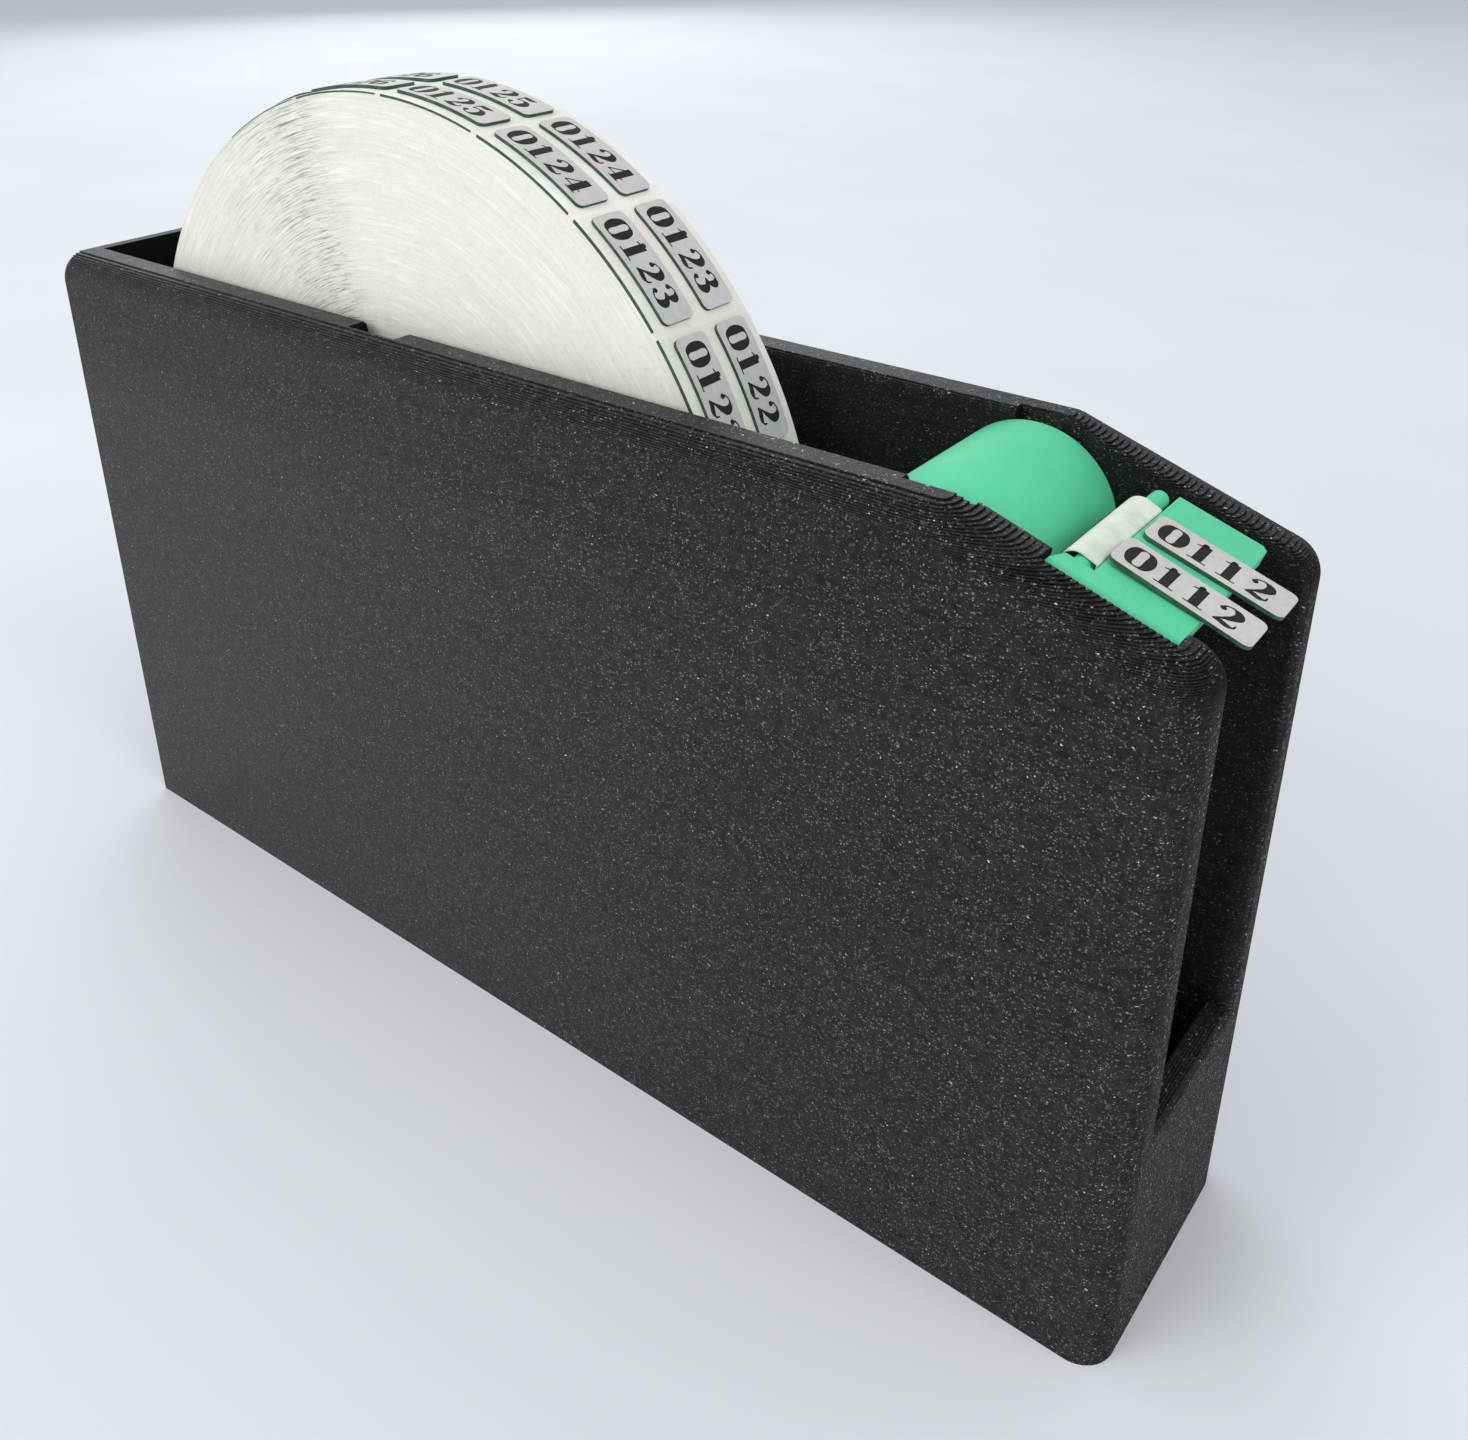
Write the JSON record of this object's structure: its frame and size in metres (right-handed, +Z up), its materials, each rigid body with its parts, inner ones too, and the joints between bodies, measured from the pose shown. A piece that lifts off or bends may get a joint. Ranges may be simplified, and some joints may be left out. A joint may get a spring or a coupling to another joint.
{
  "type": "sticker dispenser",
  "caption": "Desk dispenser for a roll of number labels: deep slotted trough with rolled edges and sloped nose, roll on an axle, lift-out web guide, peel plate with rod, peeled labels.",
  "frame": {"origin": "middle of the housing's flat base, on the surface it stands on", "axes": "+X towards the sloped nose where the labels come off, +Y towards the far wall, +Z up"},
  "size_m": [0.2407, 0.048, 0.1714],
  "materials": {
    "housing_print": "satin",
    "mint_print": "matte",
    "paper_roll": "matte",
    "liner_paper": "satin",
    "label_paper": "satin",
    "core_board": "matte"
  },
  "bodies": {
    "root": {"housing": "housing_print", "peel_plate": "mint_print", "liner_web": "liner_paper", "web_labels_near": "label_paper", "web_labels_far": "label_paper"},
    "roll": {"roll_axle": "mint_print", "core_hub": "mint_print", "roll_core": "core_board", "label_roll": "paper_roll", "roll_labels_near": "label_paper", "roll_labels_far": "label_paper"},
    "guide": {"web_guide": "mint_print"},
    "near_label": {"dispensed_label_near": "label_paper"},
    "far_label": {"dispensed_label_far": "label_paper"}
  },
  "joints": [
    {"name": "roll_spin", "type": "hinge", "parent": "root", "child": "roll", "pos_m": [-0.029, 0, 0.096], "axis": [0, 1, 0], "continuous": true},
    {"name": "guide_lift", "type": "slide", "parent": "root", "child": "guide", "axis": [0, 0, 1], "range_m": [0, 0.09]},
    {"name": "near_label_pull", "type": "slide", "parent": "root", "child": "near_label", "axis": [0.9402, 0, -0.3405], "range_m": [0, 0.022]},
    {"name": "far_label_pull", "type": "slide", "parent": "root", "child": "far_label", "axis": [0.9402, 0, -0.3405], "range_m": [0, 0.022]}
  ]
}
